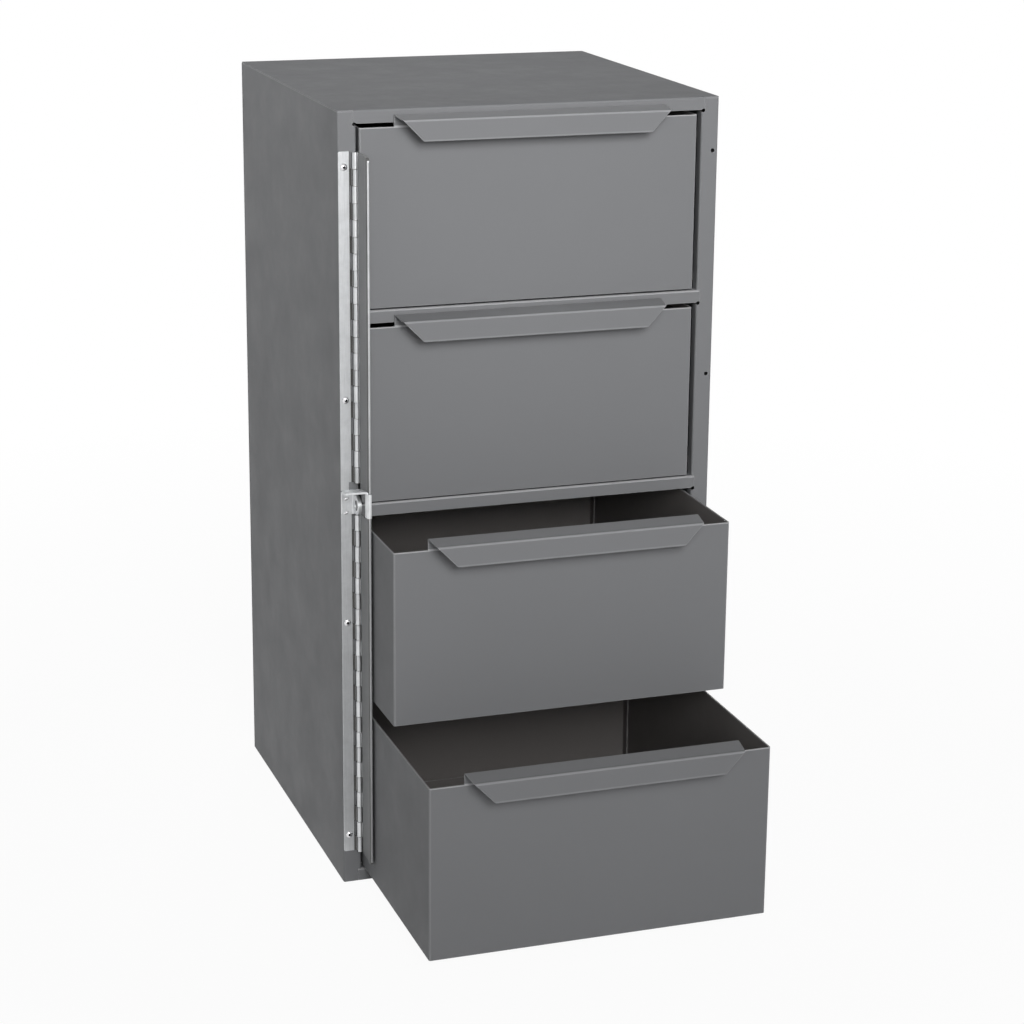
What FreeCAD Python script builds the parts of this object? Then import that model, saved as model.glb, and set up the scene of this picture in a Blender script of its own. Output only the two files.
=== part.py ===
import FreeCAD, Part
import math
import os

# Small parts cabinet of folded sheet steel: four drawers one above another, and a hinged
# locking bar on the left that closes over their edges. Millimetres, +Z up, the drawers
# open towards -Y. The origin is the middle of the cabinet's footprint, on the floor.

# Cabinet body
width = 304.8
depth = 304.8
height = 615.95
sheet = 1.0
inner_bend = 0.6
flange = 14.3
lip = 8.0
rear_flange = 12.0
rail = 10.0
rail_end_inset = 11.8
weld_gap = 0.15
relief_hole_r = 1.5
relief_hole_inset = 1.1
relief_hole_drop = 0.5
shelf_edge = 8.0
corner_cutback = 12.0

# Drawers
drawer_count = 4
drawer_sheet = 1.0
gap_above_drawer = 3.2
gap_left_of_drawer = 2.0
gap_right_of_drawer = 4.2
front_clearance = 0.3
rear_clearance = 5.0
pan_edge = 14.0
back_edge = 10.0
full_pull = 225.0
drawer_3_out = 86.0
drawer_4_out = 176.0
drawers_out = {3: drawer_3_out, 4: drawer_4_out}

# Stop lugs on top of the drawer's sides, which meet the rail from behind
lug_length = 14.0
lug_rise = 5.0
lug_foot = 2.0
lug_clearance = 0.3

# Runners
runner_sheet = 1.5
runner_leg = 18.0
runner_upright = 14.0
runner_side_gap = 0.7
runner_setback = 2.0
runner_rear_gap = 14.0
glide_gap = 0.3

# Handle, folded from the top of the drawer's front
handle_rise = 9.3
handle_inset = 26.8
handle_reach = 17.9
handle_crease_rise = 7.0
handle_crease_inset = 28.8
handle_lip_reach = 19.2
handle_lip_drop = 9.0
handle_lip_inset = 44.4
handle_lip_depth = 4.5

# Long hinges: knuckles of half an inch, two runs with an inch between them
knuckle = 12.7
knuckle_gap = 0.3
knuckles_more_below = 2
hinge_foot = 27.0
hinge_head = 30.0
hinge_break = 25.4
hinge_axis_inset = 12.4
hinge_axis_proud = 4.1
hinge_sheet = 1.0
barrel_r = 2.4
pin_clearance = 0.05
leaf_inset = 0.2
leaf_edge_inset = 8.9
leaf_corner_r = 1.2
leaf_tail_length = 6.4
leaf_tail_inset = 6.4
knuckle_relief = 0.4

# Locking bar
bar_reach = 30.0
bar_corner_r = 4.0
bar_hem = 7.0
bar_hem_round = 0.9
bar_notch = 2.8
bar_window = 15.5
bar_window_clearance = 1.0

# Rivets and the holes that take them
rivet_inset = 4.4
rivet_count = 4
rivet_above_foot = 13.8
rivet_below_head = 11.6
rivet_hole_r = 1.65
rivet_shank_clearance = 0.05
rivet_head_r = 2.7
rivet_head_rise = 1.1
rivet_bore_r = 0.95
rivet_tail_r = 2.4
rivet_tail_length = 2.0

# Padlock eye on the cabinet, in the break between the hinges
eye_sheet = 2.5
eye_foot_gap = 0.4
eye_height = 17.8
eye_reach = 18.0
eye_ear_trim = 1.6
eye_ear_corner_r = 7.2
eye_bar_gap = 2.0
eye_hole_r = 4.0
eye_hole_setback = 7.3

# Plated tab on the bar's hem, above and beside the eye
tab_sheet = 1.6
tab_foot_rise = 5.6
tab_height = 20.6
tab_leg_depth = 4.6
tab_edge_inset = 0.4
tab_reach = 18.5
tab_ledge_depth = 9.0
tab_ledge_setback = 1.2
tab_taper = 5.0
tab_corner_r = 2.0

# How far a cutting shape runs past the metal that it cuts
overrun = 1.0

os.makedirs("parts", exist_ok=True)

# Worked-out places
left = -width / 2
right = width / 2
front = -depth / 2
back = depth / 2
pitch = (height - rail) / drawer_count
rail_half = width / 2 - rail_end_inset
drawer_lift = runner_sheet + glide_gap
drawer_height = pitch - rail - drawer_lift - gap_above_drawer
drawer_left = left + flange + gap_left_of_drawer
drawer_right = right - flange - gap_right_of_drawer
front_face = front - front_clearance - drawer_sheet
back_inside = back - sheet - sheet
drawer_rear = back_inside - rear_clearance
axis_x = left + hinge_axis_inset
axis_y = front - hinge_axis_proud
pin_r = barrel_r - hinge_sheet - pin_clearance
knuckle_total = int((height - hinge_foot - hinge_head - hinge_break) / knuckle)
knuckles_upper = (knuckle_total - knuckles_more_below) // 2
knuckles_lower = knuckle_total - knuckles_upper
break_foot = hinge_foot + knuckles_lower * knuckle
break_top = break_foot + hinge_break
hinge_top = break_top + knuckles_upper * knuckle
bar_right = axis_x + barrel_r
bar_left = bar_right - hinge_sheet
bar_edge = axis_y - bar_reach
hem_face = bar_left - hinge_sheet
eye_foot = break_foot + eye_foot_gap
tab_foot = break_foot + tab_foot_rise
tab_top = tab_foot + tab_height
rivet_foot = hinge_foot + rivet_above_foot
rivet_pitch = (hinge_top - rivet_below_head - rivet_foot) / (rivet_count - 1)
rivet_heights = [rivet_foot + rivet_pitch * number for number in range(rivet_count)]


def shelf_top(number):
    """Height of the shelf under drawer number, counted from the top."""
    return rail + pitch * (drawer_count - number)


def place(axis, u, v, w):
    """A point of a drawing that is extruded along axis."""
    if axis == "x":
        return FreeCAD.Vector(w, u, v)
    if axis == "y":
        return FreeCAD.Vector(u, w, v)
    return FreeCAD.Vector(u, v, w)


def outline_face(corners, axis, level):
    """Closed outline of (u, v, radius) corners, rounded where the radius is above zero."""
    arcs = []
    for index, (u, v, radius) in enumerate(corners):
        before = corners[index - 1]
        after = corners[(index + 1) % len(corners)]
        if radius == 0:
            arcs.append([(u, v)])
            continue
        to_before = math.hypot(before[0] - u, before[1] - v)
        to_after = math.hypot(after[0] - u, after[1] - v)
        a = ((before[0] - u) / to_before, (before[1] - v) / to_before)
        b = ((after[0] - u) / to_after, (after[1] - v) / to_after)
        half = math.acos(max(-1.0, min(1.0, a[0] * b[0] + a[1] * b[1]))) / 2
        reach = radius / math.tan(half)
        middle = radius / math.sin(half) - radius
        bisector = math.hypot(a[0] + b[0], a[1] + b[1])
        arcs.append([
            (u + a[0] * reach, v + a[1] * reach),
            (u + (a[0] + b[0]) / bisector * middle, v + (a[1] + b[1]) / bisector * middle),
            (u + b[0] * reach, v + b[1] * reach),
        ])
    edges = []
    for index, arc in enumerate(arcs):
        points = [place(axis, u, v, level) for u, v in arc]
        following = place(axis, *arcs[(index + 1) % len(arcs)][0], level)
        if len(points) == 3:
            edges.append(Part.Arc(*points).toShape())
        if points[-1].distanceToPoint(following) > 1e-6:
            edges.append(Part.LineSegment(points[-1], following).toShape())
    return Part.Face(Part.Wire(edges))


def plate(corners, axis, start, end):
    """Flat or profiled solid: an outline extruded along axis from start to end."""
    rounded = [corner if len(corner) == 3 else (*corner, 0) for corner in corners]
    face = outline_face(rounded, axis, start)
    return face.extrude(place(axis, 0, 0, end - start))


def folded(path, thickness, axis, start, end, bend=inner_bend):
    """Sheet folded along path, its outer side, with the metal on the path's left."""
    count = len(path)
    headings = []
    for first, second in zip(path, path[1:]):
        length = math.hypot(second[0] - first[0], second[1] - first[1])
        headings.append(((second[0] - first[0]) / length, (second[1] - first[1]) / length))
    outer = []
    inner = []
    for index, (u, v) in enumerate(path):
        if index in (0, count - 1):
            heading = headings[0 if index == 0 else -1]
            outer.append((u, v, 0))
            inner.append((u - heading[1] * thickness, v + heading[0] * thickness, 0))
            continue
        a = headings[index - 1]
        b = headings[index]
        turn = a[0] * b[1] - a[1] * b[0]
        scale = thickness / (1 + a[0] * b[0] + a[1] * b[1])
        outside, inside = (bend + thickness, bend) if turn > 0 else (bend, bend + thickness)
        outer.append((u, v, outside))
        inner.append((u - (a[1] + b[1]) * scale, v + (a[0] + b[0]) * scale, inside))
    return plate(outer + inner[::-1], axis, start, end)


def block(x0, x1, y0, y1, z0, z1):
    """Rectangular solid between two corners."""
    return Part.makeBox(x1 - x0, y1 - y0, z1 - z0, FreeCAD.Vector(x0, y0, z0))


def rod(radius, start, end):
    """Round solid from one point to another."""
    start = FreeCAD.Vector(*start)
    end = FreeCAD.Vector(*end)
    return Part.makeCylinder(radius, (end - start).Length, start, end - start)


def joined(shapes):
    """One solid from touching or overlapping pieces of the same sheet."""
    result = shapes[0].fuse(shapes[1:]) if len(shapes) > 1 else shapes[0]
    return result.removeSplitter()


def save(name, solids):
    """Write one sub-part, as a single solid or as a group of like ones."""
    shape = solids[0] if len(solids) == 1 else Part.makeCompound(solids)
    shape.exportStep("parts/" + name + ".step")
    bounds = shape.BoundBox
    print(name, len(shape.Solids), shape.isValid(), round(shape.Volume, 1),
          [round(value, 2) for value in (bounds.XMin, bounds.XMax, bounds.YMin, bounds.YMax)],
          [round(bounds.ZMin, 2), round(bounds.ZMax, 2)])


# Side panels: web, front flange, return lip at the opening, and rear flange
def flange_holes(x):
    """The row of rivet holes, through a front flange and the hinge leaf on it."""
    start = front - hinge_sheet - overrun
    return [rod(rivet_hole_r, (x, start, z), (x, front + lip, z)) for z in rivet_heights]


def relief_holes():
    """Small round corners where each rail's lower end meets the flanges."""
    heights = [pitch * number - relief_hole_drop for number in range(1, drawer_count + 1)]
    middle = rail_half - relief_hole_inset
    return [rod(relief_hole_r, (x, front - overrun, z), (x, front + lip, z))
            for z in heights for x in (-middle, middle)]


def left_side():
    path = [
        (left + rear_flange, back - sheet),
        (left, back - sheet),
        (left, front),
        (left + flange, front),
        (left + flange, front + lip),
    ]
    panel = folded(path, sheet, "z", 0, height - sheet)
    notches = [block(left + rail_end_inset, left + flange + overrun, front - overrun,
                     front + lip + overrun, pitch * number, pitch * number + rail)
               for number in range(drawer_count + 1)]
    return panel.cut(notches + relief_holes() + flange_holes(left + rivet_inset))


def mirrored(shape):
    """The same piece for the other side of the cabinet."""
    return shape.mirror(FreeCAD.Vector(0, 0, 0), FreeCAD.Vector(1, 0, 0))


save("left_side", [left_side()])
save("right_side", [mirrored(left_side())])


# Top, shelves and bottom: each front rail is folded from its own sheet
def rail_fold(top, foot):
    """Front rail with the bend that joins it to its sheet."""
    half = rail_half - weld_gap
    path = [(front + corner_cutback, top), (front, top), (front, foot)]
    return folded(path, sheet, "x", -half, half)


def sheet_with_rail(top, foot, half_width, wing_front, rear):
    """Flat sheet, cut back in the middle of its front edge for the rail's bend."""
    half = rail_half - weld_gap
    setback = front + corner_cutback
    outline = [
        (-half_width, wing_front), (-half, wing_front), (-half, setback), (half, setback),
        (half, wing_front), (half_width, wing_front), (half_width, rear), (-half_width, rear),
    ]
    return [plate(outline, "z", top - sheet, top), rail_fold(top, foot)]


def top_panel():
    corner = sheet + inner_bend
    pieces = sheet_with_rail(height, height - rail, width / 2, front, back)
    rounded = plate([(left, front, corner), (right, front, corner),
                     (right, back, corner), (left, back, corner)], "z", 0, height)
    return joined(pieces).common(rounded).cut(relief_holes())


def shelf(number):
    top = shelf_top(number)
    half = width / 2 - sheet
    foot = top - sheet - shelf_edge
    pieces = sheet_with_rail(top, top - rail, half, front + sheet, back_inside)
    middle = [(-half, foot), (-half, top), (half, top), (half, foot)]
    cover = folded(middle[::-1], sheet, "y", front + corner_cutback, back_inside - corner_cutback)
    rear = folded([(back_inside, foot), (back_inside, top), (back_inside - corner_cutback, top)],
                  sheet, "x", corner_cutback - half, half - corner_cutback)
    wings = block(-half, half, front + corner_cutback, back_inside - corner_cutback, foot, top)
    strip = block(corner_cutback - half, half - corner_cutback,
                  back_inside - corner_cutback, back_inside, foot, top)
    flat = pieces[0].cut([wings, strip])
    return joined([flat, pieces[1], cover, rear]).cut(relief_holes())


def bottom_panel():
    half = width / 2 - sheet - sheet
    rear = back_inside - sheet
    start = front + sheet
    tray = folded([(-half, shelf_edge), (-half, 0), (half, 0), (half, shelf_edge)], sheet, "y",
                  start + corner_cutback, rear - corner_cutback)
    ends = folded([(rear, shelf_edge), (rear, 0), (start, 0), (start, shelf_edge)][::-1], sheet, "x",
                  corner_cutback - half, half - corner_cutback)
    flat = block(-half, half, start, rear, 0, sheet)
    wings = block(-half, half, start + corner_cutback, rear - corner_cutback, 0, sheet)
    strip = block(corner_cutback - half, half - corner_cutback, start, rear, 0, sheet)
    return joined([flat.cut([wings, strip]), tray, ends])


save("top_panel", [top_panel()])
save("back_panel", [block(left, right, back - sheet, back, 0, height - sheet)])
save("bottom_panel", [bottom_panel()])
for number in range(1, drawer_count + 1):
    save("shelf_%d" % number, [shelf(number)])


# Runners: the lower leg carries the drawer's edge, the upright leg guides its side
def left_runner(number):
    top = shelf_top(number)
    guide = drawer_left - runner_side_gap - runner_sheet
    path = [(guide, top + runner_upright), (guide, top), (guide + runner_leg, top)]
    start = front + lip + runner_setback
    return folded(path, runner_sheet, "y", start, back_inside - runner_rear_gap)


for number in range(1, drawer_count + 1):
    save("runner_%d_left" % number, [left_runner(number)])
    save("runner_%d_right" % number, [mirrored(left_runner(number))])


# Drawers
def handle(foot):
    """Riser, top and lip of the handle, with its tapered ends. foot is the front's top edge."""
    inner_face = front_face + drawer_sheet
    crease = foot + handle_crease_rise
    path = [
        (front_face - handle_lip_reach, foot - handle_lip_drop),
        (front_face - handle_reach, crease),
        (inner_face, foot + handle_rise),
        (inner_face, foot - drawer_sheet),
    ]
    whole = folded(path[::-1], drawer_sheet, "x", drawer_left + handle_inset,
                   drawer_right - handle_inset)
    tip = front_face - handle_lip_reach - overrun
    below = foot - handle_lip_drop
    slope = (handle_lip_inset - handle_crease_inset) / (crease - below)
    past = below - overrun
    trims = []
    for edge, inward in ((drawer_left, 1), (drawer_right, -1)):
        trims.append(plate([
            (edge + inward * (handle_inset - overrun), inner_face),
            (edge + inward * handle_inset, inner_face),
            (edge + inward * handle_crease_inset, front_face - handle_reach),
            (edge + inward * handle_crease_inset, tip),
            (edge + inward * (handle_inset - overrun), tip),
        ], "z", past, foot + handle_rise + overrun))
        trims.append(plate([
            (edge + inward * (handle_inset - overrun), crease),
            (edge + inward * handle_crease_inset, crease),
            (edge + inward * (handle_lip_inset + slope), past),
            (edge + inward * (handle_inset - overrun), past),
        ], "y", tip, front_face - handle_reach + handle_lip_depth))
    return whole.cut(trims)


def drawer_shell(number):
    foot = shelf_top(number) + drawer_lift
    top = foot + drawer_height
    path = [(drawer_left, drawer_rear), (drawer_left, front_face),
            (drawer_right, front_face), (drawer_right, drawer_rear)]
    wrap = folded(path, drawer_sheet, "z", foot, top)
    lug_front = front + sheet + lug_clearance + full_pull
    lugs = []
    for x in (drawer_left, drawer_right - drawer_sheet):
        outline = [(lug_front, top - lug_foot), (lug_front, top + lug_rise),
                   (lug_front + lug_length - lug_rise, top + lug_rise),
                   (lug_front + lug_length, top), (lug_front + lug_length, top - lug_foot)]
        lugs.append(plate(outline, "x", x, x + drawer_sheet))
    return joined([wrap, handle(top)] + lugs)


def drawer_pan(number):
    foot = shelf_top(number) + drawer_lift
    x0 = drawer_left + drawer_sheet
    x1 = drawer_right - drawer_sheet
    y0 = front_face + drawer_sheet
    y1 = drawer_rear - drawer_sheet
    cut = pan_edge
    tray = folded([(x0, foot + pan_edge), (x0, foot), (x1, foot), (x1, foot + pan_edge)],
                  drawer_sheet, "y", y0 + cut, y1 - cut)
    ends = folded([(y0, foot + pan_edge), (y0, foot), (y1, foot), (y1, foot + pan_edge)],
                  drawer_sheet, "x", x0 + cut, x1 - cut)
    flat = block(x0, x1, y0, y1, foot, foot + drawer_sheet)
    wings = block(x0, x1, y0 + cut, y1 - cut, foot, foot + drawer_sheet)
    strip = block(x0 + cut, x1 - cut, y0, y1, foot, foot + drawer_sheet)
    return joined([flat.cut([wings, strip]), tray, ends])


def drawer_back(number):
    foot = shelf_top(number) + drawer_lift
    top = foot + drawer_height
    x0 = drawer_left + drawer_sheet
    x1 = drawer_right - drawer_sheet
    clear_of_pan = foot + pan_edge + drawer_sheet
    path = [(x1, drawer_rear - back_edge), (x1, drawer_rear), (x0, drawer_rear),
            (x0, drawer_rear - back_edge)]
    wrap = folded(path, drawer_sheet, "z", clear_of_pan, top)
    skirt = block(x0, x1, drawer_rear - drawer_sheet, drawer_rear, foot, clear_of_pan)
    return joined([wrap, skirt])


for number in range(1, drawer_count + 1):
    pulled = FreeCAD.Vector(0, -drawers_out.get(number, 0.0), 0)
    for name, build in (("shell", drawer_shell), ("pan", drawer_pan), ("back", drawer_back)):
        piece = build(number)
        piece.translate(pulled)
        save("drawer_%d_%s" % (number, name), [piece])


# Long hinges. Knuckles count from the top of each run: the first is the bar's own
def knuckle_spans(foot, count, first):
    """Heights of every second knuckle in a run, from first, counted from its top."""
    spans = []
    for index in range(first, count, 2):
        top = foot + (count - index) * knuckle
        spans.append((top - knuckle + knuckle_gap / 2, top - knuckle_gap / 2))
    return spans


def bore(foot, top):
    return rod(pin_r + pin_clearance, (axis_x, axis_y, foot - overrun),
               (axis_x, axis_y, top + overrun))


def barrel(low, high):
    return rod(barrel_r, (axis_x, axis_y, low), (axis_x, axis_y, high))


def fixed_leaf(foot, count, outline):
    """Flat leaf on the flange, with its knuckles rolled up to the pin."""
    top = foot + count * knuckle
    face = front - hinge_sheet
    edge = left + leaf_edge_inset
    behind = axis_y + barrel_r
    pieces = [plate(outline, "y", face, front)]
    for low, high in knuckle_spans(foot, count, 1):
        shank = [
            (edge - hinge_sheet, front), (edge - hinge_sheet, face), (edge, face),
            (axis_x - barrel_r / 2, behind - hinge_sheet), (axis_x, behind - hinge_sheet),
            (axis_x, behind), (axis_x - barrel_r / 2, behind), (edge + hinge_sheet, front),
        ]
        pieces.append(plate(shank, "z", low, high))
        pieces.append(barrel(low, high))
    return joined(pieces).cut([bore(foot, top)] + flange_holes(left + rivet_inset))


def upper_leaf():
    edge = left + leaf_edge_inset
    tail = left + leaf_tail_inset
    low = break_top - leaf_tail_length
    outline = [(left + leaf_inset, low), (tail, low), (tail, break_top), (edge, break_top),
               (edge, hinge_top), (left + leaf_inset, hinge_top, leaf_corner_r)]
    return fixed_leaf(break_top, knuckles_upper, outline)


def lower_leaf():
    edge = left + leaf_edge_inset
    outline = [(left + leaf_inset, hinge_foot, leaf_corner_r), (edge, hinge_foot),
               (edge, break_foot), (left + leaf_inset, break_foot)]
    return fixed_leaf(hinge_foot, knuckles_lower, outline)


save("hinge_leaf_upper", [upper_leaf()])
save("hinge_leaf_lower", [lower_leaf()])
save("hinge_pin_upper", [rod(pin_r, (axis_x, axis_y, break_top), (axis_x, axis_y, hinge_top))])
save("hinge_pin_lower", [rod(pin_r, (axis_x, axis_y, hinge_foot), (axis_x, axis_y, break_foot))])


# Locking bar: the wide leaf of the same hinges, with a hemmed free edge
def locking_bar():
    section = [
        (bar_right, axis_y, 0), (bar_left, axis_y, 0), (bar_left, bar_edge + bar_hem, 0),
        (hem_face, bar_edge + bar_hem, 0), (hem_face, bar_edge, bar_hem_round),
        (bar_right, bar_edge, bar_hem_round),
    ]
    blank = plate([
        (axis_y, hinge_foot, 0), (bar_edge, hinge_foot, bar_corner_r),
        (bar_edge, hinge_top, bar_corner_r), (axis_y, hinge_top, 0),
    ], "x", hem_face, bar_right)
    leaf = plate(section, "z", hinge_foot, hinge_top).common(blank)
    clear = axis_y - barrel_r - knuckle_relief
    x0 = hem_face - overrun
    x1 = bar_right + overrun
    y1 = axis_y + overrun
    ear_foot = eye_foot + eye_ear_trim
    ear_top = eye_foot + eye_height - eye_ear_trim
    cuts = [
        block(x0, x1, axis_y - bar_notch, y1,
              break_foot - knuckle_gap / 2, break_top + knuckle_gap / 2),
        block(x0, x1, axis_y - bar_window, y1,
              ear_foot - bar_window_clearance, ear_top + bar_window_clearance),
    ]
    knuckles = []
    for foot, count in ((hinge_foot, knuckles_lower), (break_top, knuckles_upper)):
        for low, high in knuckle_spans(foot, count, 1):
            cuts.append(block(x0, x1, clear, y1, low - knuckle_gap, high + knuckle_gap))
        for low, high in knuckle_spans(foot, count, 0):
            knuckles.append(barrel(low, high))
    bores = [bore(hinge_foot, break_foot), bore(break_top, hinge_top)]
    return joined([leaf.cut(cuts)] + knuckles).cut(bores)


def bar_tab():
    """Angle round the bar's hemmed edge, with a ledge over the padlock eye."""
    outside = hem_face - tab_sheet
    tip = bar_edge - inner_bend - tab_sheet
    leg_end = bar_edge + tab_leg_depth
    wrap = folded([(outside, leg_end), (outside, tip), (bar_right - tab_edge_inset, tip)],
                  tab_sheet, "z", tab_foot, tab_top - tab_sheet)
    near = bar_edge + tab_ledge_setback
    far = near + tab_ledge_depth
    end = hem_face - tab_reach
    ledge = folded([(hem_face, tab_foot), (hem_face, tab_top), (end, tab_top)],
                   tab_sheet, "y", near, far)
    inside = hem_face + overrun
    blank = plate([(inside, near), (end, near, tab_corner_r), (end, far, tab_corner_r),
                   (hem_face - tab_taper, far), (outside, leg_end), (inside, leg_end)],
                  "z", tab_foot - overrun, tab_top + overrun)
    return joined([wrap, ledge.common(blank)])


save("locking_bar", [locking_bar()])
save("bar_tab", [bar_tab()])


# Padlock eye: an angle whose ear stands forward and clears the bar's window
def padlock_eye():
    ear_face = bar_left - eye_bar_gap
    top = eye_foot + eye_height
    tip = front - eye_reach
    start = front - eye_sheet - inner_bend
    angle = folded([(ear_face, tip), (ear_face, front), (left + leaf_inset, front)],
                   eye_sheet, "z", eye_foot, top)
    ear = plate([
        (front, eye_foot + eye_ear_trim, 0), (front, top - eye_ear_trim, 0),
        (tip, top - eye_ear_trim, eye_ear_corner_r), (tip, eye_foot + eye_ear_trim, eye_ear_corner_r),
    ], "x", left, ear_face + overrun)
    trimmings = block(left, ear_face + overrun, tip - overrun, start,
                      eye_foot - overrun, top + overrun).cut(ear)
    middle = eye_foot + eye_height / 2
    hole_y = tip + eye_hole_setback
    hole = rod(eye_hole_r, (left, hole_y, middle), (ear_face + overrun, hole_y, middle))
    return angle.cut([trimmings, hole])


save("padlock_eye", [padlock_eye()])


# Hollow rivets through the hinge leaf and the flange behind it
def leaf_rivet(x, z):
    face = front - hinge_sheet
    tail = front + sheet
    rise = rivet_head_rise
    sphere_r = (rivet_head_r * rivet_head_r + rise * rise) / (2 * rise)
    ball = Part.makeSphere(sphere_r, FreeCAD.Vector(x, face - rise + sphere_r, z))
    head = ball.common(rod(rivet_head_r, (x, face - rise - overrun, z), (x, face, z)))
    shank = rod(rivet_hole_r - rivet_shank_clearance, (x, face - rise / 2, z), (x, tail, z))
    foot = rod(rivet_tail_r, (x, tail, z), (x, tail + rivet_tail_length, z))
    mandrel = rod(rivet_bore_r, (x, face - rise - overrun, z), (x, tail, z))
    return joined([head, shank, foot]).cut(mandrel)


save("leaf_rivets", [leaf_rivet(left + rivet_inset, z) for z in rivet_heights])
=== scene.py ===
import bpy
import math
from mathutils import Matrix, Vector


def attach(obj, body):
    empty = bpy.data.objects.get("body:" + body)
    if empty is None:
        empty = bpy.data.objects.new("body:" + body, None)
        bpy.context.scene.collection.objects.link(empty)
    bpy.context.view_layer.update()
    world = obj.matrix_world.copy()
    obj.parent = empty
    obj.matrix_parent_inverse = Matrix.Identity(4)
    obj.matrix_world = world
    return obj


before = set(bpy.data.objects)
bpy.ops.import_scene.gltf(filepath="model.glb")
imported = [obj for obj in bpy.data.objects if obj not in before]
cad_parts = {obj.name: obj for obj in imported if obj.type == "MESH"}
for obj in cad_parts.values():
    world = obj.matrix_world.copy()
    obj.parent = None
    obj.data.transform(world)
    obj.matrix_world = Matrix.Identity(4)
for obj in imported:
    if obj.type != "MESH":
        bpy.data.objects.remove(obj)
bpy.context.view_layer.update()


# The cabinet's skin: two sides, top, back and bottom of 1 mm steel sheet, folded and
# spot welded, then sprayed with a grey baking enamel. Its edges and bends are painted
# lighter, partly as paint wear and partly as a painted highlight.
cabinet_grey = (0.196, 0.199, 0.206, 1.0)
# Lighter grey for edges and bends: partly paint wear, partly a painted highlight.
edge_highlight_and_wear_grey = (0.420, 0.423, 0.432, 1.0)
panel_nodes = ("left_side", "right_side", "top_panel", "back_panel", "bottom_panel")


def node(tree, kind, inputs=None, **settings):
    """A shader node with its settings, its socket values and the links into it."""
    made = tree.nodes.new(kind)
    for name, value in settings.items():
        setattr(made, name, value)
    for name, value in (inputs or {}).items():
        if isinstance(value, bpy.types.NodeSocket):
            tree.links.new(value, made.inputs[name])
        else:
            made.inputs[name].default_value = value
    return made


def group_tree(name, inputs, outputs):
    """An empty shader node group with named inputs and outputs, and its two end nodes."""
    tree = bpy.data.node_groups.new(name, "ShaderNodeTree")
    for label, (kind, value) in inputs.items():
        socket = tree.interface.new_socket(label, in_out="INPUT", socket_type=kind)
        socket.default_value = value
    for label, kind in outputs.items():
        tree.interface.new_socket(label, in_out="OUTPUT", socket_type=kind)
    return tree, tree.nodes.new("NodeGroupInput"), tree.nodes.new("NodeGroupOutput")


def use_group(tree, group, inputs):
    """A group placed in a material, with the values that the material gives it."""
    placed = tree.nodes.new("ShaderNodeGroup")
    placed.node_tree = group
    for name, value in inputs.items():
        if isinstance(value, bpy.types.NodeSocket):
            tree.links.new(value, placed.inputs[name])
        else:
            placed.inputs[name].default_value = value
    return placed


def edge_finder():
    """Mask of the metal's edges and bends, and a normal that rounds them a little."""
    tree, ends_in, ends_out = group_tree(
        "sheet_edges",
        {"Reach": ("NodeSocketFloat", 0.0011), "Rounding": ("NodeSocketFloat", 0.0003)},
        {"Mask": "NodeSocketFloat", "Normal": "NodeSocketVector"})
    wide = node(tree, "ShaderNodeBevel", {"Radius": ends_in.outputs["Reach"]}, samples=6)
    fine = node(tree, "ShaderNodeBevel", {"Radius": ends_in.outputs["Rounding"]}, samples=4)
    surface = node(tree, "ShaderNodeNewGeometry")
    along = node(tree, "ShaderNodeVectorMath",
                 {0: wide.outputs["Normal"], 1: surface.outputs["Normal"]}, operation="DOT_PRODUCT")
    mask = node(tree, "ShaderNodeMapRange",
                {"Value": along.outputs["Value"], "From Min": 0.995, "From Max": 0.86})
    tree.links.new(mask.outputs["Result"], ends_out.inputs["Mask"])
    tree.links.new(fine.outputs["Normal"], ends_out.inputs["Normal"])
    return tree


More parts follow.
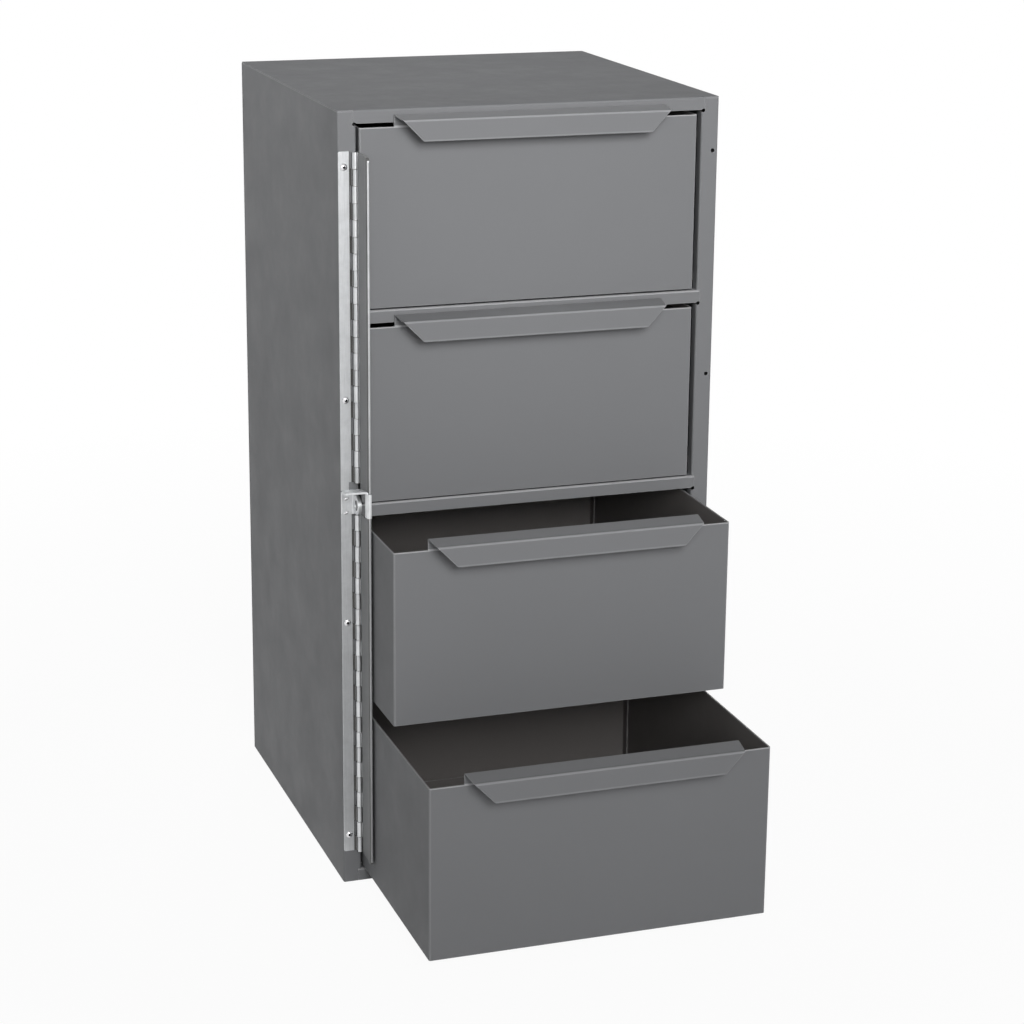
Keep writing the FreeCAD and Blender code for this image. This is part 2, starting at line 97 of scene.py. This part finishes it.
def enamel_film(edges):
    """Sprayed film: faint clouds in its colour, orange peel, and edges painted lighter, partly wear and
    partly painted highlight.
    """
    tree, ends_in, ends_out = group_tree(
        "enamel_film",
        {"Colour": ("NodeSocketColor", cabinet_grey), "Rubbed": ("NodeSocketColor", edge_highlight_and_wear_grey),
         "Rub": ("NodeSocketFloat", 0.5), "Bare": ("NodeSocketFloat", 0.0),
         "Clouds": ("NodeSocketFloat", 0.01), "Gloss": ("NodeSocketFloat", 0.5)},
        {"Colour": "NodeSocketColor", "Roughness": "NodeSocketFloat", "Normal": "NodeSocketVector"})
    place = node(tree, "ShaderNodeTexCoord")
    cloud = node(tree, "ShaderNodeTexNoise",
                 {"Vector": place.outputs["Object"], "Scale": 9.0, "Detail": 4.0, "Roughness": 0.55})
    cloud_low = node(tree, "ShaderNodeMath",
                     {0: 1.0, 1: ends_in.outputs["Clouds"]}, operation="SUBTRACT")
    cloud_high = node(tree, "ShaderNodeMath",
                      {0: 1.0, 1: ends_in.outputs["Clouds"]}, operation="ADD")
    shade = node(tree, "ShaderNodeMapRange",
                 {"Value": cloud.outputs["Fac"], "From Min": 0.3, "From Max": 0.7,
                  "To Min": cloud_low.outputs["Value"], "To Max": cloud_high.outputs["Value"]})
    clouded = node(tree, "ShaderNodeVectorMath",
                   {0: ends_in.outputs["Colour"], "Scale": shade.outputs["Result"]}, operation="SCALE")
    found = use_group(tree, edges, {})
    chips = node(tree, "ShaderNodeTexNoise",
                 {"Vector": place.outputs["Object"], "Scale": 160.0, "Detail": 3.0, "Roughness": 0.6})
    patchy = node(tree, "ShaderNodeMapRange",
                  {"Value": chips.outputs["Fac"], "From Min": 0.35, "From Max": 0.65,
                   "To Min": 0.55, "To Max": 1.0})
    # Edge mask for the lighter grey: partly wear, partly painted highlight.
    lit_and_worn = node(tree, "ShaderNodeMath",
                {0: found.outputs["Mask"], 1: patchy.outputs["Result"]}, operation="MULTIPLY")
    wear_and_highlight = node(tree, "ShaderNodeMath",
               {0: lit_and_worn.outputs["Value"], 1: ends_in.outputs["Rub"]}, operation="MULTIPLY")
    thin = node(tree, "ShaderNodeMath",
                {0: wear_and_highlight.outputs["Value"], 1: ends_in.outputs["Bare"]}, operation="MAXIMUM")
    colour = node(tree, "ShaderNodeMix",
                  {"Factor": thin.outputs["Value"], "A": clouded.outputs["Vector"],
                   "B": ends_in.outputs["Rubbed"]}, data_type="RGBA")
    peel = node(tree, "ShaderNodeTexNoise",
                {"Vector": place.outputs["Object"], "Scale": 620.0, "Detail": 2.0, "Roughness": 0.5})
    wave = node(tree, "ShaderNodeTexNoise",
                {"Vector": place.outputs["Object"], "Scale": 24.0, "Detail": 1.0})
    sheet_wave = node(tree, "ShaderNodeBump",
                      {"Height": wave.outputs["Fac"], "Strength": 0.10, "Distance": 0.0006,
                       "Normal": found.outputs["Normal"]})
    skin = node(tree, "ShaderNodeBump",
                {"Height": peel.outputs["Fac"], "Strength": 0.35, "Distance": 0.00004,
                 "Normal": sheet_wave.outputs["Normal"]})
    smears = node(tree, "ShaderNodeTexNoise",
                  {"Vector": place.outputs["Object"], "Scale": 30.0, "Detail": 4.0, "Roughness": 0.7})
    gloss_high = node(tree, "ShaderNodeMath",
                      {0: ends_in.outputs["Gloss"], 1: 0.08}, operation="ADD")
    gloss_low = node(tree, "ShaderNodeMath",
                     {0: ends_in.outputs["Gloss"], 1: 0.05}, operation="SUBTRACT")
    dull = node(tree, "ShaderNodeMapRange",
                {"Value": smears.outputs["Fac"], "From Min": 0.3, "From Max": 0.7,
                 "To Min": gloss_low.outputs["Value"], "To Max": gloss_high.outputs["Value"]})
    tree.links.new(colour.outputs["Result"], ends_out.inputs["Colour"])
    tree.links.new(dull.outputs["Result"], ends_out.inputs["Roughness"])
    tree.links.new(skin.outputs["Normal"], ends_out.inputs["Normal"])
    return tree


sheet_edges = edge_finder()
film = enamel_film(sheet_edges)


def new_material(name):
    """A material with its node tree emptied down to a Principled BSDF."""
    material = bpy.data.materials.new(name)
    material.use_nodes = True
    return material, material.node_tree, material.node_tree.nodes["Principled BSDF"]


def enamel(name, colour, lit_hem=edge_highlight_and_wear_grey, wear_and_highlight=0.6, clouds=0.010, gloss=0.52, sheen=0.15):
    """Semi-gloss baked enamel."""
    material, tree, surface = new_material(name)
    made = use_group(tree, film, {"Colour": colour, "Rubbed": lit_hem, "Rub": wear_and_highlight,
                                  "Clouds": clouds, "Gloss": gloss})
    tree.links.new(made.outputs["Colour"], surface.inputs["Base Color"])
    tree.links.new(made.outputs["Roughness"], surface.inputs["Roughness"])
    tree.links.new(made.outputs["Normal"], surface.inputs["Normal"])
    surface.inputs["Specular IOR Level"].default_value = sheen
    return material


def finish_node(name, material):
    """Give a node of the frame its finish."""
    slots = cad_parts[name].data.materials
    slots.clear()
    slots.append(material)


cabinet_enamel = enamel("cabinet_enamel", cabinet_grey)
for name in panel_nodes:
    finish_node(name, cabinet_enamel)


# Four shelves, folded down at the front into the rails between the drawers. They are
# sprayed with the cabinet, and the rails' top bends are painted lighter as a painted highlight.
drawer_numbers = (1, 2, 3, 4)
rail_bend_depth = -0.1520
rail_bends = {1: 0.4641, 2: 0.3126, 3: 0.1612, 4: 0.0097}
rail_bend_reach = 0.0013
# Share of the painted highlight on the rails' top bends.
rail_bend_highlight = 0.75


def line_mask(tree, lines, reach, share, plane=(0.0, 1.0, 1.0)):
    """Mask of the strips along straight lines, each given by a point in the plane across them."""
    place = node(tree, "ShaderNodeTexCoord")
    across = node(tree, "ShaderNodeVectorMath", {0: place.outputs["Object"], 1: plane}, operation="MULTIPLY")
    total = 0.0
    for point in lines:
        far = node(tree, "ShaderNodeVectorMath",
                   {0: across.outputs["Vector"], 1: point}, operation="DISTANCE")
        near = node(tree, "ShaderNodeMapRange",
                    {"Value": far.outputs["Value"], "From Min": reach * 0.6, "From Max": reach,
                     "To Min": share, "To Max": 0.0})
        total = node(tree, "ShaderNodeMath", {0: near.outputs["Result"], 1: total},
                     operation="MAXIMUM").outputs["Value"]
    return total


def coat_of(material):
    """The enamel group placed in a material."""
    return next(item for item in material.node_tree.nodes if item.type == "GROUP")


rail_enamel = enamel("rail_enamel", cabinet_grey)
rail_lines = [(0.0, rail_bend_depth, height) for height in rail_bends.values()]
lit_rail_bends = line_mask(rail_enamel.node_tree, rail_lines, rail_bend_reach, rail_bend_highlight)
rail_enamel.node_tree.links.new(lit_rail_bends, coat_of(rail_enamel).inputs["Bare"])
for number in drawer_numbers:
    finish_node("shelf_%d" % number, rail_enamel)


# Eight runner angles, bent from bare plated strip and spot welded to the inside of the
# sides, a pair for each drawer. The drawers slide on their lower legs.
plate_bright = (0.74, 0.75, 0.76, 1.0)
plate_dull = (0.60, 0.61, 0.62, 1.0)
# Dark brown used only as painted shade: in the hinge crease, the rivet bores and beside the bar's knuckles
# and hem.
painted_shade_brown = (0.055, 0.053, 0.050, 1.0)


def rolled_metal():
    """Plated strip: fine lines along its length, dull patches and bright edges."""
    tree, ends_in, ends_out = group_tree(
        "rolled_metal",
        {"Bright": ("NodeSocketColor", plate_bright), "Dull": ("NodeSocketColor", plate_dull),
         "Stretch": ("NodeSocketVector", (1.0, 1.0, 0.02)), "Polish": ("NodeSocketFloat", 0.3)},
        {"Colour": "NodeSocketColor", "Roughness": "NodeSocketFloat", "Normal": "NodeSocketVector"})
    place = node(tree, "ShaderNodeTexCoord")
    along = node(tree, "ShaderNodeVectorMath",
                 {0: place.outputs["Object"], 1: ends_in.outputs["Stretch"]}, operation="MULTIPLY")
    lines = node(tree, "ShaderNodeTexNoise",
                 {"Vector": along.outputs["Vector"], "Scale": 2600.0, "Detail": 3.0, "Roughness": 0.6})
    patches = node(tree, "ShaderNodeTexNoise",
                   {"Vector": place.outputs["Object"], "Scale": 70.0, "Detail": 5.0, "Roughness": 0.6})
    patch = node(tree, "ShaderNodeMapRange",
                 {"Value": patches.outputs["Fac"], "From Min": 0.38, "From Max": 0.66})
    colour = node(tree, "ShaderNodeMix",
                  {"Factor": patch.outputs["Result"], "A": ends_in.outputs["Bright"],
                   "B": ends_in.outputs["Dull"]}, data_type="RGBA")
    line_shade = node(tree, "ShaderNodeMapRange",
                      {"Value": lines.outputs["Fac"], "From Min": 0.3, "From Max": 0.7,
                       "To Min": 0.9, "To Max": 1.06})
    lined = node(tree, "ShaderNodeVectorMath",
                 {0: colour.outputs["Result"], "Scale": line_shade.outputs["Result"]}, operation="SCALE")
    rougher = node(tree, "ShaderNodeMath", {0: ends_in.outputs["Polish"], 1: 0.14}, operation="ADD")
    roughness = node(tree, "ShaderNodeMapRange",
                     {"Value": patches.outputs["Fac"], "From Min": 0.3, "From Max": 0.7,
                      "To Min": ends_in.outputs["Polish"], "To Max": rougher.outputs["Value"]})
    found = use_group(tree, sheet_edges, {"Reach": 0.0004, "Rounding": 0.0002})
    grain = node(tree, "ShaderNodeBump",
                 {"Height": lines.outputs["Fac"], "Strength": 0.25, "Distance": 0.00002,
                  "Normal": found.outputs["Normal"]})
    tree.links.new(lined.outputs["Vector"], ends_out.inputs["Colour"])
    tree.links.new(roughness.outputs["Result"], ends_out.inputs["Roughness"])
    tree.links.new(grain.outputs["Normal"], ends_out.inputs["Normal"])
    return tree


rolled = rolled_metal()


def plated(name, bright=plate_bright, dull=plate_dull, stretch=(1.0, 1.0, 0.02), polish=0.3, shade_mask=None):
    """Bare plated steel, with painted shade where a mask says so."""
    material, tree, surface = new_material(name)
    made = use_group(tree, rolled, {"Bright": bright, "Dull": dull, "Stretch": stretch,
                                    "Polish": polish})
    colour = made.outputs["Colour"]
    if shade_mask:
        shaded = node(tree, "ShaderNodeMix", {"Factor": shade_mask(tree), "A": colour, "B": painted_shade_brown},
                     data_type="RGBA")
        colour = shaded.outputs["Result"]
    tree.links.new(colour, surface.inputs["Base Color"])
    tree.links.new(made.outputs["Roughness"], surface.inputs["Roughness"])
    tree.links.new(made.outputs["Normal"], surface.inputs["Normal"])
    surface.inputs["Metallic"].default_value = 1.0
    return material


runner_plate = plated("runner_plate", stretch=(1.0, 0.02, 1.0), polish=0.35)
for number in drawer_numbers:
    for side in ("left", "right"):
        finish_node("runner_%d_%s" % (number, side), runner_plate)


# The drawers: front, sides and handle bent from one sheet, with the pan and the back
# welded in. They are sprayed grey outside, with a thinner, browner coat inside. The cut
# edges along the top, the handle's ridge, lower edge and top, and the front corners are
# painted lighter as painted highlights.
drawer_grey = (0.196, 0.199, 0.206, 1.0)
inside_brown = (0.165, 0.155, 0.150, 1.0)
rim_heights = {1: 0.60275, 2: 0.45126, 3: 0.29978, 4: 0.14829}
front_faces = {1: -0.1537, 2: -0.1537, 3: -0.2397, 4: -0.3297}
drawer_middle = -0.0011
drawer_half_width = 0.1350
sheet = 0.0009
rim_depth = 0.0008
# Painted highlight on the cut edges along each drawer's top, strongest on the front.
side_rim_highlight = 0.45
front_rim_highlight = 0.95
handle_ridge = (-0.0177, 0.0068)
handle_edge = (-0.0191, -0.0088)
handle_line_reach = 0.0013
# Shares of the painted highlights on the handle's ridge and lower edge.
handle_ridge_highlight = 0.42
handle_edge_highlight = 0.20
handle_top = 0.0073
# Share of the painted highlight on the handle's top.
handle_top_highlight = 0.20
corner_inset = 0.0004
# Share of the painted highlight down the drawer's front corners.
corner_highlight = 0.25


def rim_highlight_mask(tree, height, front):
    """Mask of the painted highlight on the cut edges at a drawer's top, strongest along its front."""
    place = node(tree, "ShaderNodeTexCoord")
    point = node(tree, "ShaderNodeSeparateXYZ", {0: place.outputs["Object"]})
    near = node(tree, "ShaderNodeMath", {0: point.outputs["Z"], 1: height, 2: rim_depth}, operation="COMPARE")
    behind = node(tree, "ShaderNodeMath", {0: point.outputs["Y"], 1: front - sheet}, operation="GREATER_THAN")
    both = node(tree, "ShaderNodeMath",
                {0: near.outputs["Value"], 1: behind.outputs["Value"]}, operation="MULTIPLY")
    wear = node(tree, "ShaderNodeMapRange",
                {"Value": point.outputs["Y"], "From Min": front + sheet, "From Max": front + sheet * 2,
                 "To Min": front_rim_highlight, "To Max": side_rim_highlight})
    lit_and_worn = node(tree, "ShaderNodeMath",
                {0: both.outputs["Value"], 1: wear.outputs["Result"]}, operation="MULTIPLY")
    return lit_and_worn.outputs["Value"]


def handle_top_highlight_mask(tree, height):
    """Mask of the handle's top, painted lighter as a painted highlight from the light above."""
    place = node(tree, "ShaderNodeTexCoord")
    point = node(tree, "ShaderNodeSeparateXYZ", {0: place.outputs["Object"]})
    above = node(tree, "ShaderNodeMath", {0: point.outputs["Z"], 1: height}, operation="GREATER_THAN")
    thin = node(tree, "ShaderNodeMath", {0: above.outputs["Value"], 1: handle_top_highlight}, operation="MULTIPLY")
    return thin.outputs["Value"]


def inside_colour(tree, front):
    """Grey outside the drawer's skin, brown within it."""
    place = node(tree, "ShaderNodeTexCoord")
    point = node(tree, "ShaderNodeSeparateXYZ", {0: place.outputs["Object"]})
    aside = node(tree, "ShaderNodeMath", {0: point.outputs["X"], 1: drawer_middle}, operation="SUBTRACT")
    away = node(tree, "ShaderNodeMath", {0: aside.outputs["Value"]}, operation="ABSOLUTE")
    between = node(tree, "ShaderNodeMath",
                   {0: away.outputs["Value"], 1: drawer_half_width - sheet / 2}, operation="LESS_THAN")
    behind = node(tree, "ShaderNodeMath",
                  {0: point.outputs["Y"], 1: front + sheet / 2}, operation="GREATER_THAN")
    within = node(tree, "ShaderNodeMath",
                  {0: between.outputs["Value"], 1: behind.outputs["Value"]}, operation="MULTIPLY")
    colour = node(tree, "ShaderNodeMix",
                  {"Factor": within.outputs["Value"], "A": drawer_grey, "B": inside_brown},
                  data_type="RGBA")
    return colour.outputs["Result"]


for number in drawer_numbers:
    drawer_enamel = enamel("drawer_%d_enamel" % number, drawer_grey, wear_and_highlight=0.7, gloss=0.54, sheen=0.12)
    tree = drawer_enamel.node_tree
    front, rim = front_faces[number], rim_heights[number]
    ridge, edge = [(0.0, front + out, rim + up) for out, up in (handle_ridge, handle_edge)]
    corners = [(drawer_middle + side * (drawer_half_width - corner_inset), front + corner_inset, 0.0)
               for side in (-1, 1)]
    lit_and_worn = rim_highlight_mask(tree, rim, front)
    # Painted highlights: rims, handle ridge and lower edge, front corners and handle top.
    for mask in (line_mask(tree, [ridge], handle_line_reach, handle_ridge_highlight),
                 line_mask(tree, [edge], handle_line_reach, handle_edge_highlight),
                 line_mask(tree, corners, handle_line_reach, corner_highlight, plane=(1.0, 1.0, 0.0)),
                 handle_top_highlight_mask(tree, rim + handle_top)):
        lit_and_worn = node(tree, "ShaderNodeMath", {0: lit_and_worn, 1: mask}, operation="MAXIMUM").outputs["Value"]
    tree.links.new(lit_and_worn, coat_of(drawer_enamel).inputs["Bare"])
    tree.links.new(inside_colour(tree, front), coat_of(drawer_enamel).inputs["Colour"])
    for piece in ("shell", "pan", "back"):
        finish_node("drawer_%d_%s" % (number, piece), drawer_enamel)


# The two long hinges: fixed leaves of plated strip on the left flange, and their pins
# of drawn wire. Painted shade darkens the crease between each leaf and its knuckles.
crease_left = -0.1440
crease_right = -0.1421
crease_shade_share = 0.95


def crease_shade_mask(tree):
    """Mask of the painted shade on the strip between the leaf's edge and the knuckles."""
    place = node(tree, "ShaderNodeTexCoord")
    point = node(tree, "ShaderNodeSeparateXYZ", {0: place.outputs["Object"]})
    middle = (crease_left + crease_right) / 2
    half = (crease_right - crease_left) / 2
    within = node(tree, "ShaderNodeMath", {0: point.outputs["X"], 1: middle, 2: half}, operation="COMPARE")
    share = node(tree, "ShaderNodeMath", {0: within.outputs["Value"], 1: crease_shade_share}, operation="MULTIPLY")
    return share.outputs["Value"]


hinge_plate = plated("hinge_plate", bright=(0.62, 0.63, 0.64, 1.0), dull=(0.54, 0.55, 0.56, 1.0),
                     polish=0.42, shade_mask=crease_shade_mask)
for name in ("hinge_leaf_upper", "hinge_leaf_lower"):
    finish_node(name, hinge_plate)
pin_wire = plated("pin_wire", bright=(0.5, 0.5, 0.51, 1.0), dull=(0.35, 0.35, 0.36, 1.0), polish=0.3)
for name in ("hinge_pin_upper", "hinge_pin_lower"):
    finish_node(name, pin_wire)


# Four hollow rivets of bright aluminium that hold the leaves to the flange. Their bores,
# where the mandrels broke off, are painted black as painted shade.
rivet_across = -0.1480
rivet_foot = 0.0408
rivet_pitch = 0.1778
bore_reach = 0.0010


def bore_shade_mask(tree):
    """Mask of the painted shade in the rivets' bores, by the distance from the nearest rivet's axis."""
    place = node(tree, "ShaderNodeTexCoord")
    point = node(tree, "ShaderNodeSeparateXYZ", {0: place.outputs["Object"]})
    aside = node(tree, "ShaderNodeMath", {0: point.outputs["X"], 1: rivet_across}, operation="SUBTRACT")
    above = node(tree, "ShaderNodeMath", {0: point.outputs["Z"], 1: rivet_foot}, operation="SUBTRACT")
    round_off = node(tree, "ShaderNodeMath", {0: above.outputs["Value"], 1: rivet_pitch}, operation="SNAP")
    past = node(tree, "ShaderNodeMath",
                {0: above.outputs["Value"], 1: round_off.outputs["Value"]}, operation="SUBTRACT")
    short = node(tree, "ShaderNodeMath", {0: rivet_pitch, 1: past.outputs["Value"]}, operation="SUBTRACT")
    level = node(tree, "ShaderNodeMath",
                 {0: past.outputs["Value"], 1: short.outputs["Value"]}, operation="MINIMUM")
    offset = node(tree, "ShaderNodeCombineXYZ", {"X": aside.outputs["Value"], "Z": level.outputs["Value"]})
    far = node(tree, "ShaderNodeVectorMath", {0: offset.outputs["Vector"]}, operation="LENGTH")
    inside = node(tree, "ShaderNodeMath", {0: far.outputs["Value"], 1: bore_reach}, operation="LESS_THAN")
    return inside.outputs["Value"]


rivet_metal = plated("rivet_metal", bright=(0.80, 0.80, 0.81, 1.0), dull=(0.70, 0.70, 0.71, 1.0),
                     stretch=(1.0, 1.0, 1.0), polish=0.36, shade_mask=bore_shade_mask)
finish_node("leaf_rivets", rivet_metal)


# The locking bar: the wide leaf of the same hinges. Its faces have a grey coat. Its
# knuckles are bare plate. The hem's front is painted barer towards the top, a painted
# highlight that fades downward, and painted shade lies along the knuckles and the hem.
hinge_axis = (-0.1400, -0.1565)
knuckle_reach = 0.0027
# Painted shade: a ring beside the knuckles and a line along the hem.
shade_ring_reach = 0.0040
hem_front = -0.1861
hem_shade_line = -0.1848
hem_shade_half = 0.0012
# Painted highlight: the hem's front is barer and brighter towards the top, fading downward.
hem_highlight_foot = -0.05
hem_highlight_head = 0.56
hem_highlight_least = 0.1
hem_highlight_most = 0.75
shade_share = 0.75
bar_sheen = 0.3
bar_grey = (0.235, 0.239, 0.243, 1.0)


def bar_masks(tree):
    """Masks of the bar's bare plate, with the hem's painted highlight, and of its painted shade lines, by the
    distance from the pin and the hem.
    """
    place = node(tree, "ShaderNodeTexCoord")
    point = node(tree, "ShaderNodeSeparateXYZ", {0: place.outputs["Object"]})
    level = node(tree, "ShaderNodeCombineXYZ", {"X": point.outputs["X"], "Y": point.outputs["Y"]})
    far = node(tree, "ShaderNodeVectorMath",
               {0: level.outputs["Vector"], 1: (hinge_axis[0], hinge_axis[1], 0.0)}, operation="DISTANCE")
    knuckle = node(tree, "ShaderNodeMath", {0: far.outputs["Value"], 1: knuckle_reach}, operation="LESS_THAN")
    edge = node(tree, "ShaderNodeMath", {0: point.outputs["Y"], 1: hem_front}, operation="LESS_THAN")
    hem_highlight_ramp = node(tree, "ShaderNodeMapRange",
                  {"Value": point.outputs["Z"], "From Min": hem_highlight_foot, "From Max": hem_highlight_head,
                   "To Min": hem_highlight_least, "To Max": hem_highlight_most})
    lit_hem = node(tree, "ShaderNodeMath",
                  {0: edge.outputs["Value"], 1: hem_highlight_ramp.outputs["Result"]}, operation="MULTIPLY")
    bare = node(tree, "ShaderNodeMath",
                {0: knuckle.outputs["Value"], 1: lit_hem.outputs["Value"]}, operation="MAXIMUM")
    beside = node(tree, "ShaderNodeMath",
                  {0: far.outputs["Value"], 1: (knuckle_reach + shade_ring_reach) / 2,
                   2: (shade_ring_reach - knuckle_reach) / 2}, operation="COMPARE")
    hem = node(tree, "ShaderNodeMath",
               {0: point.outputs["Y"], 1: hem_shade_line, 2: hem_shade_half}, operation="COMPARE")
    shaded_lines = node(tree, "ShaderNodeMath",
                  {0: beside.outputs["Value"], 1: hem.outputs["Value"]}, operation="MAXIMUM")
    thin = node(tree, "ShaderNodeMath", {0: shaded_lines.outputs["Value"], 1: shade_share}, operation="MULTIPLY")
    return bare.outputs["Value"], thin.outputs["Value"]


def coated_leaf(name, coat_colour):
    """Grey coat over plate, bare or darkened by painted shade where the masks say."""
    material, tree, surface = new_material(name)
    bare, shaded_lines = bar_masks(tree)
    coat = use_group(tree, film, {"Colour": coat_colour, "Rubbed": edge_highlight_and_wear_grey, "Rub": 0.6})
    plate = use_group(tree, rolled, {"Polish": 0.34})
    colour = node(tree, "ShaderNodeMix",
                  {"Factor": bare, "A": coat.outputs["Colour"], "B": plate.outputs["Colour"]},
                  data_type="RGBA")
    dull = node(tree, "ShaderNodeMix",
                {"Factor": bare, "A": coat.outputs["Roughness"], "B": plate.outputs["Roughness"]},
                data_type="FLOAT")
    greased = node(tree, "ShaderNodeMix", {"Factor": shaded_lines, "A": colour.outputs["Result"], "B": painted_shade_brown},
                   data_type="RGBA")
    tree.links.new(greased.outputs["Result"], surface.inputs["Base Color"])
    tree.links.new(dull.outputs["Result"], surface.inputs["Roughness"])
    tree.links.new(bare, surface.inputs["Metallic"])
    tree.links.new(coat.outputs["Normal"], surface.inputs["Normal"])
    surface.inputs["Specular IOR Level"].default_value = bar_sheen
    return material


finish_node("locking_bar", coated_leaf("bar_coat_and_plate", bar_grey))


# The plated tab on the bar, and the padlock eye that is welded to the flange beside it,
# with the two weld marks on its foot.
tab_plate = plated("tab_plate", polish=0.40)
finish_node("bar_tab", tab_plate)
finish_node("padlock_eye", tab_plate)
weld_metal = plated("weld_metal", bright=(0.66, 0.66, 0.67, 1.0), dull=(0.42, 0.42, 0.42, 1.0),
                    stretch=(1.0, 1.0, 1.0), polish=0.34)
weld_marks = {"eye_weld_upper": (-0.1484, -0.1549, 0.3192), "eye_weld_lower": (-0.1484, -0.1548, 0.3080)}
weld_size = (0.0019, 0.0005, 0.0011)
weld_lean = 24.0
weld_segments = 28
weld_rings = 14
for name, place in weld_marks.items():
    bpy.ops.mesh.primitive_uv_sphere_add(segments=weld_segments, ring_count=weld_rings, location=place)
    weld = bpy.context.object
    weld.name = name
    weld.scale = weld_size
    weld.rotation_euler = (0.0, math.radians(-weld_lean), 0.0)
    bpy.ops.object.transform_apply(location=True, rotation=True, scale=True)
    bpy.ops.object.shade_smooth()
    weld.data.materials.append(weld_metal)
    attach(weld, "cabinet")


# Studio floor, pale and plain, with a faint shadow under the cabinet. Its own glow is
# seen by the camera and in the plated metal, and it throws no light on the cabinet.
floor_size = 30.0
floor_white = (0.90, 0.90, 0.90, 1.0)
floor_roughness = 0.9
floor_sheen = 0.1
lift_near = 0.95
lift_far = 1.00
near_radius = 0.45
far_radius = 1.30
bpy.ops.mesh.primitive_plane_add(size=floor_size, location=(0.0, 0.0, 0.0))
floor = bpy.context.object
floor.name = "studio_floor"
floor_material, tree, surface = new_material("studio_floor")
surface.inputs["Base Color"].default_value = floor_white
surface.inputs["Roughness"].default_value = floor_roughness
surface.inputs["Specular IOR Level"].default_value = floor_sheen
path = node(tree, "ShaderNodeLightPath")
glow = node(tree, "ShaderNodeEmission", {"Color": (1.0, 1.0, 1.0, 1.0), "Strength": 1.0})
seen = node(tree, "ShaderNodeMath",
            {0: path.outputs["Is Camera Ray"], 1: path.outputs["Is Glossy Ray"]}, operation="MAXIMUM")
seen_too = node(tree, "ShaderNodeMath",
                {0: seen.outputs["Value"], 1: path.outputs["Is Transmission Ray"]}, operation="MAXIMUM")
spot = node(tree, "ShaderNodeTexCoord")
away = node(tree, "ShaderNodeVectorMath", {0: spot.outputs["Object"]}, operation="LENGTH")
lift = node(tree, "ShaderNodeMapRange",
            {"Value": away.outputs["Value"], "From Min": near_radius, "From Max": far_radius,
             "To Min": lift_near, "To Max": lift_far})
share = node(tree, "ShaderNodeMath",
             {0: seen_too.outputs["Value"], 1: lift.outputs["Result"]}, operation="MULTIPLY")
both = node(tree, "ShaderNodeMixShader",
            {0: share.outputs["Value"], 1: surface.outputs["BSDF"], 2: glow.outputs["Emission"]})
tree.links.new(both.outputs["Shader"], tree.nodes["Material Output"].inputs["Surface"])
floor.data.materials.append(floor_material)


# Soft studio light: a room that is white all round at eye level and dim overhead, a key
# lamp in front, a weak one beside the camera, one high at the left, one overhead and
# one behind that stays below the top, so that it can't glare on it.
horizon_level = 0.88
ceiling_level = 0.06
ceiling_start = 0.5
world = bpy.data.worlds.new("pale_room")
bpy.context.scene.world = world
world.use_nodes = True
tree = world.node_tree
for old in list(tree.nodes):
    tree.nodes.remove(old)
towards = node(tree, "ShaderNodeTexCoord")
rise = node(tree, "ShaderNodeSeparateXYZ", {0: towards.outputs["Generated"]})
level = node(tree, "ShaderNodeMapRange",
             {"Value": rise.outputs["Z"], "From Min": 0.0, "From Max": ceiling_start,
              "To Min": horizon_level, "To Max": ceiling_level}, interpolation_type="SMOOTHSTEP")
sky = node(tree, "ShaderNodeBackground",
           {"Color": (1.0, 1.0, 1.0, 1.0), "Strength": level.outputs["Result"]})
node(tree, "ShaderNodeOutputWorld", {"Surface": sky.outputs["Background"]})


def softbox(name, place, target, size, watts, spread=180.0):
    """A large square lamp that faces the target."""
    lamp = bpy.data.lights.new(name, "AREA")
    lamp.shape = "SQUARE"
    lamp.size = size
    lamp.energy = watts
    lamp.spread = math.radians(spread)
    box = bpy.data.objects.new(name, lamp)
    bpy.context.scene.collection.objects.link(box)
    box.location = place
    box.rotation_euler = (Vector(target) - Vector(place)).to_track_quat("-Z", "Y").to_euler()
    box.visible_camera = False


softbox("key_softbox", (-0.20, -2.15, 1.36), (0.0, -0.15, 0.78), 0.8, 4.6, spread=60.0)
softbox("camera_softbox", (-0.60, -2.60, 1.30), (0.0, -0.15, 0.74), 1.0, 1.75, spread=54.0)
softbox("side_softbox", (-0.85, -0.05, 1.50), (-0.15, 0.05, 0.84), 0.5, 0.38, spread=38.0)
softbox("top_softbox", (0.10, 0.60, 2.20), (0.0, 0.10, 0.60), 1.0, 5.5)
softbox("back_softbox", (0.90, 2.30, 0.31), (0.0, 0.15, 0.31), 0.6, 2.4, spread=60.0)


# The camera stands to the left of the cabinet and above it, as in the photograph.
# The frame is taken as 1024 pixels square.
image_width = 1024
camera_place = (-0.657, -2.018, 0.888)
camera_pan = 19.02
camera_tilt = 15.78
camera_roll = 0.53
focal_pixels = 2627
sensor_width = 36.0
shift_up = -42 / image_width

pan, tilt, roll = (math.radians(angle) for angle in (camera_pan, camera_tilt, camera_roll))
ahead = Vector((math.sin(pan) * math.cos(tilt), math.cos(pan) * math.cos(tilt), -math.sin(tilt)))
level_right = Vector((math.cos(pan), -math.sin(pan), 0.0))
level_up = level_right.cross(ahead)
right = math.cos(roll) * level_right + math.sin(roll) * level_up
up = -math.sin(roll) * level_right + math.cos(roll) * level_up
camera_data = bpy.data.cameras.new("studio_camera")
camera_data.sensor_width = sensor_width
camera_data.lens = sensor_width * focal_pixels / image_width
camera_data.shift_y = shift_up
camera_data.clip_end = 100.0
camera = bpy.data.objects.new("studio_camera", camera_data)
bpy.context.scene.collection.objects.link(camera)
camera.matrix_world = Matrix.Translation(camera_place) @ Matrix((right, up, -ahead)).transposed().to_4x4()
bpy.context.scene.camera = camera
bpy.context.scene.view_settings.view_transform = "Standard"
